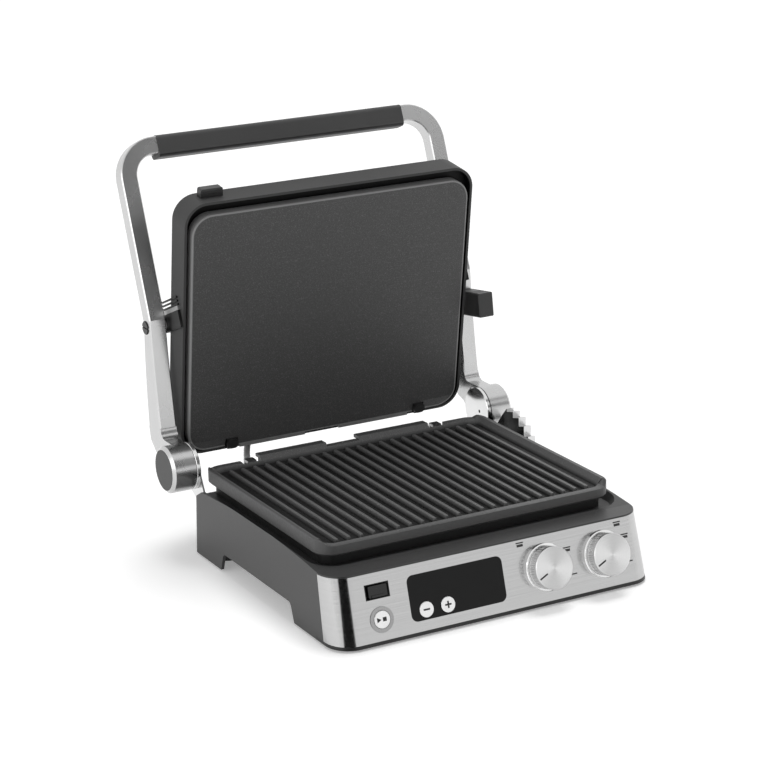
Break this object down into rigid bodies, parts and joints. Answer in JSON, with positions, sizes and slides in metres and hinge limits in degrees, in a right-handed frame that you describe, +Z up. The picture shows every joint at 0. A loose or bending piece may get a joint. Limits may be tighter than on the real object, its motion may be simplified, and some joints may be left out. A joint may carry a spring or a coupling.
{
  "type": "panini press",
  "caption": "Contact grill press: ribbed lower plate, flat upper plate on a floating lid carried by two hinged cast arms with a grip bar; sloping front with display, keys and knobs",
  "frame": {"origin": "middle of the base's footprint, on the table", "axes": "+Z up, +X to the right seen from the controls, +Y from the controls towards the hinge"},
  "size_m": [0.36, 0.4215, 0.3671],
  "materials": {
    "body_plastic": "satin dark grey moulding",
    "lid_plastic": "satin dark moulding",
    "rubber": "matte",
    "fastener": "plated",
    "brushed_steel": "brushed along its length",
    "display_gloss": "gloss black",
    "board": "satin board",
    "bright_metal": "bright polished",
    "black_plastic": "satin black",
    "sheet_aluminium": "bright sheet",
    "heater_steel": "dull sheath",
    "sleeve_grey": "ribbed sleeve",
    "plate_coating": "fine speckled non-stick coating",
    "button_silver": "silver",
    "knob_metal": "spun face",
    "cast_aluminium": "fine satin casting",
    "grip_plastic": "matte dark grey"
  },
  "bodies": {
    "base": {"base_housing": "body_plastic", "bottom_cover": "body_plastic", "feet": "rubber", "bottom_screws": "fastener", "front_panel": "brushed_steel", "display_window": "display_gloss", "display_module": "board", "start_ring": "bright_metal", "release_bezel": "black_plastic", "knob_flanges": "bright_metal", "thermostats": "black_plastic", "power_board": "board", "lower_reflector": "sheet_aluminium", "lower_element": "heater_steel", "lower_clips": "heater_steel", "left_hinge_bracket": "bright_metal", "right_hinge_bracket": "bright_metal", "hinge_screws": "fastener", "hinge_nuts": "fastener", "toothed_quadrant": "bright_metal", "quadrant_screws": "fastener", "inlet_gland": "black_plastic", "wiring_sleeve": "sleeve_grey"},
    "lower_plate": {"lower_plate": "plate_coating"},
    "start_button": {"start_button": "button_silver"},
    "minus_button": {"minus_button": "button_silver"},
    "plus_button": {"plus_button": "button_silver"},
    "lower_release": {"lower_release": "black_plastic"},
    "knob_left": {"knob_left": "knob_metal", "knob_left_pointer": "black_plastic"},
    "knob_right": {"knob_right": "knob_metal", "knob_right_pointer": "black_plastic"},
    "handle_frame": {"left_arm": "cast_aluminium", "right_arm": "cast_aluminium", "grip": "grip_plastic", "hinge_caps": "grip_plastic", "pivot_screws": "fastener"},
    "height_stop": {"height_stop": "black_plastic"},
    "pivot_carriers": {"left_pivot_disc": "fastener", "right_pivot_disc": "fastener"},
    "lid": {"lid_housing": "lid_plastic", "lid_cover": "brushed_steel", "lid_screws": "fastener", "upper_reflector": "sheet_aluminium", "upper_element": "heater_steel", "upper_clips": "black_plastic", "left_pivot_bracket": "black_plastic", "right_pivot_bracket": "black_plastic", "pivot_strips": "bright_metal"},
    "upper_plate": {"upper_plate": "plate_coating"},
    "upper_release": {"upper_release": "black_plastic"}
  },
  "joints": [
    {"name": "arm_hinge", "type": "hinge", "parent": "base", "child": "handle_frame", "pos_m": [0, 0.153, 0.08], "axis": [-1, 0, 0], "range_deg": [-93.02, 80], "deforming": ["wiring_sleeve"]},
    {"name": "lid_follow", "type": "hinge", "parent": "handle_frame", "child": "pivot_carriers", "pos_m": [0, 0.2012, 0.2021], "axis": [-1, 0, 0], "range_deg": [-10.5, 12]},
    {"name": "lid_tilt", "type": "hinge", "parent": "pivot_carriers", "child": "lid", "pos_m": [0, 0.2012, 0.2021], "axis": [-1, 0, 0], "range_deg": [0, 27.2]},
    {"name": "lower_plate_lift", "type": "slide", "parent": "base", "child": "lower_plate", "axis": [0, 0, 1], "range_m": [0, 0.03]},
    {"name": "upper_plate_pull", "type": "slide", "parent": "lid", "child": "upper_plate", "axis": [0, -0.9906, -0.1371], "range_m": [0, 0.03]},
    {"name": "lower_release_push", "type": "slide", "parent": "base", "child": "lower_release", "axis": [0, 0.9613, -0.2756], "range_m": [0, 0.003], "stiffness_N_per_m": 600},
    {"name": "upper_release_push", "type": "slide", "parent": "lid", "child": "upper_release", "axis": [0, 0.1371, -0.9906], "range_m": [0, 0.003], "stiffness_N_per_m": 600},
    {"name": "start_push", "type": "slide", "parent": "base", "child": "start_button", "axis": [0, 0.9613, -0.2756], "range_m": [0, 0.001], "stiffness_N_per_m": 500},
    {"name": "minus_push", "type": "slide", "parent": "base", "child": "minus_button", "axis": [0, 0.9613, -0.2756], "range_m": [0, 0.001], "stiffness_N_per_m": 500},
    {"name": "plus_push", "type": "slide", "parent": "base", "child": "plus_button", "axis": [0, 0.9613, -0.2756], "range_m": [0, 0.001], "stiffness_N_per_m": 500},
    {"name": "knob_left_turn", "type": "hinge", "parent": "base", "child": "knob_left", "pos_m": [0.05, -0.13267, 0.03359], "axis": [0, 0.9613, -0.2756], "range_deg": [0, 240]},
    {"name": "knob_right_turn", "type": "hinge", "parent": "base", "child": "knob_right", "pos_m": [0.1098, -0.13267, 0.03359], "axis": [0, 0.9613, -0.2756], "range_deg": [0, 240]},
    {"name": "height_stop_slide", "type": "slide", "parent": "handle_frame", "child": "height_stop", "axis": [0, -0.9903, 0.1392], "range_m": [0, 0.01]}
  ],
  "couplings": [
    {"joint": "lid_follow", "follows": "arm_hinge", "ratio": -0.11713}
  ]
}
